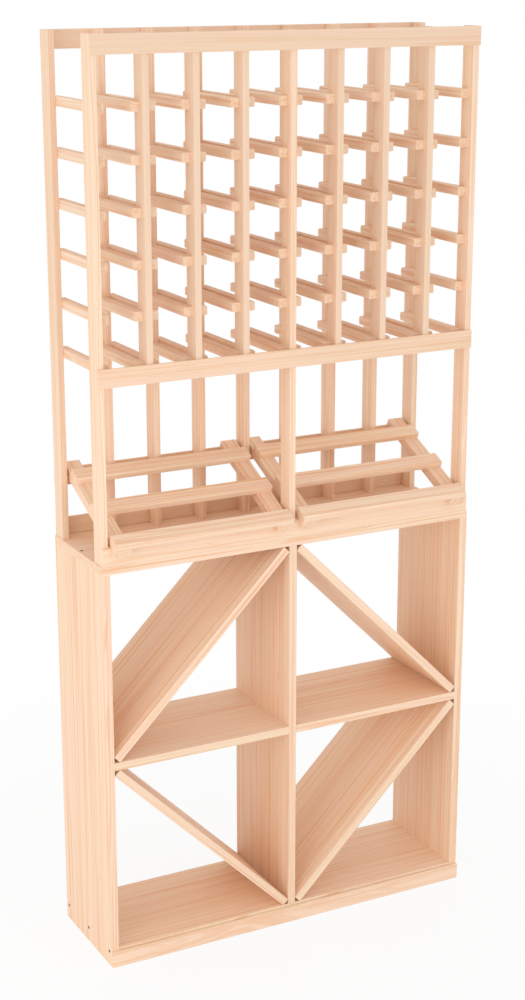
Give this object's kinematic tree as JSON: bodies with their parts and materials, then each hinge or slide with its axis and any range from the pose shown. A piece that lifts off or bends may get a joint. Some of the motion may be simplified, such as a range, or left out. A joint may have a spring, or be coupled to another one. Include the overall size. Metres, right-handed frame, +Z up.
{
  "type": "wine rack",
  "caption": "Tall open wooden wine rack: bottle columns on rails between ladders, two sloping display trays below, and a cabinet of diagonal bins at the foot.",
  "frame": {"origin": "centre of the base of the bounding box, on the floor", "axes": "+Z up, +Y to the back (the wall side), +X to the right as seen from the front"},
  "size_m": [0.826, 0.2634, 1.829],
  "materials": {
    "upright_pine": "unfinished, planed",
    "rail_pine": "unfinished, planed",
    "board_pine": "unfinished, planed",
    "panel_pine": "unfinished, planed",
    "tray_pine": "unfinished, planed",
    "black_screw": "black phosphate"
  },
  "bodies": {
    "root": {"front_upright_1": "upright_pine", "front_upright_2": "upright_pine", "front_upright_3": "upright_pine", "front_upright_4": "upright_pine", "front_upright_5": "upright_pine", "front_upright_6": "upright_pine", "front_upright_7": "upright_pine", "front_upright_8": "upright_pine", "front_upright_9": "upright_pine", "rear_upright_1": "upright_pine", "rear_upright_2": "upright_pine", "rear_upright_3": "upright_pine", "rear_upright_4": "upright_pine", "rear_upright_5": "upright_pine", "rear_upright_6": "upright_pine", "rear_upright_7": "upright_pine", "rear_upright_8": "upright_pine", "rear_upright_9": "upright_pine", "ladder_rails_1": "rail_pine", "ladder_rails_2": "rail_pine", "ladder_rails_3": "rail_pine", "ladder_rails_4": "rail_pine", "ladder_rails_5": "rail_pine", "ladder_rails_6": "rail_pine", "ladder_rails_7": "rail_pine", "ladder_rails_8": "rail_pine", "ladder_rails_9": "rail_pine", "top_front_board": "board_pine", "low_front_board": "board_pine", "cabinet_front_board": "board_pine", "base_board": "board_pine", "top_rear_board": "board_pine", "tray_rear_board": "board_pine", "low_rear_board": "board_pine", "left_side_panel": "panel_pine", "right_side_panel": "panel_pine", "divider": "panel_pine", "deck": "panel_pine", "bottom_panel": "panel_pine", "left_shelf": "panel_pine", "right_shelf": "panel_pine", "upper_left_diagonal": "panel_pine", "upper_right_diagonal": "panel_pine", "lower_left_diagonal": "panel_pine", "lower_right_diagonal": "panel_pine", "left_tray_left_stringer": "tray_pine", "left_tray_right_stringer": "tray_pine", "right_tray_left_stringer": "tray_pine", "right_tray_right_stringer": "tray_pine", "left_tray_slat_1": "tray_pine", "left_tray_slat_2": "tray_pine", "left_tray_slat_3": "tray_pine", "right_tray_slat_1": "tray_pine", "right_tray_slat_2": "tray_pine", "right_tray_slat_3": "tray_pine", "side_screws": "black_screw", "deck_screws": "black_screw", "divider_screws": "black_screw"}
  },
  "joints": []
}
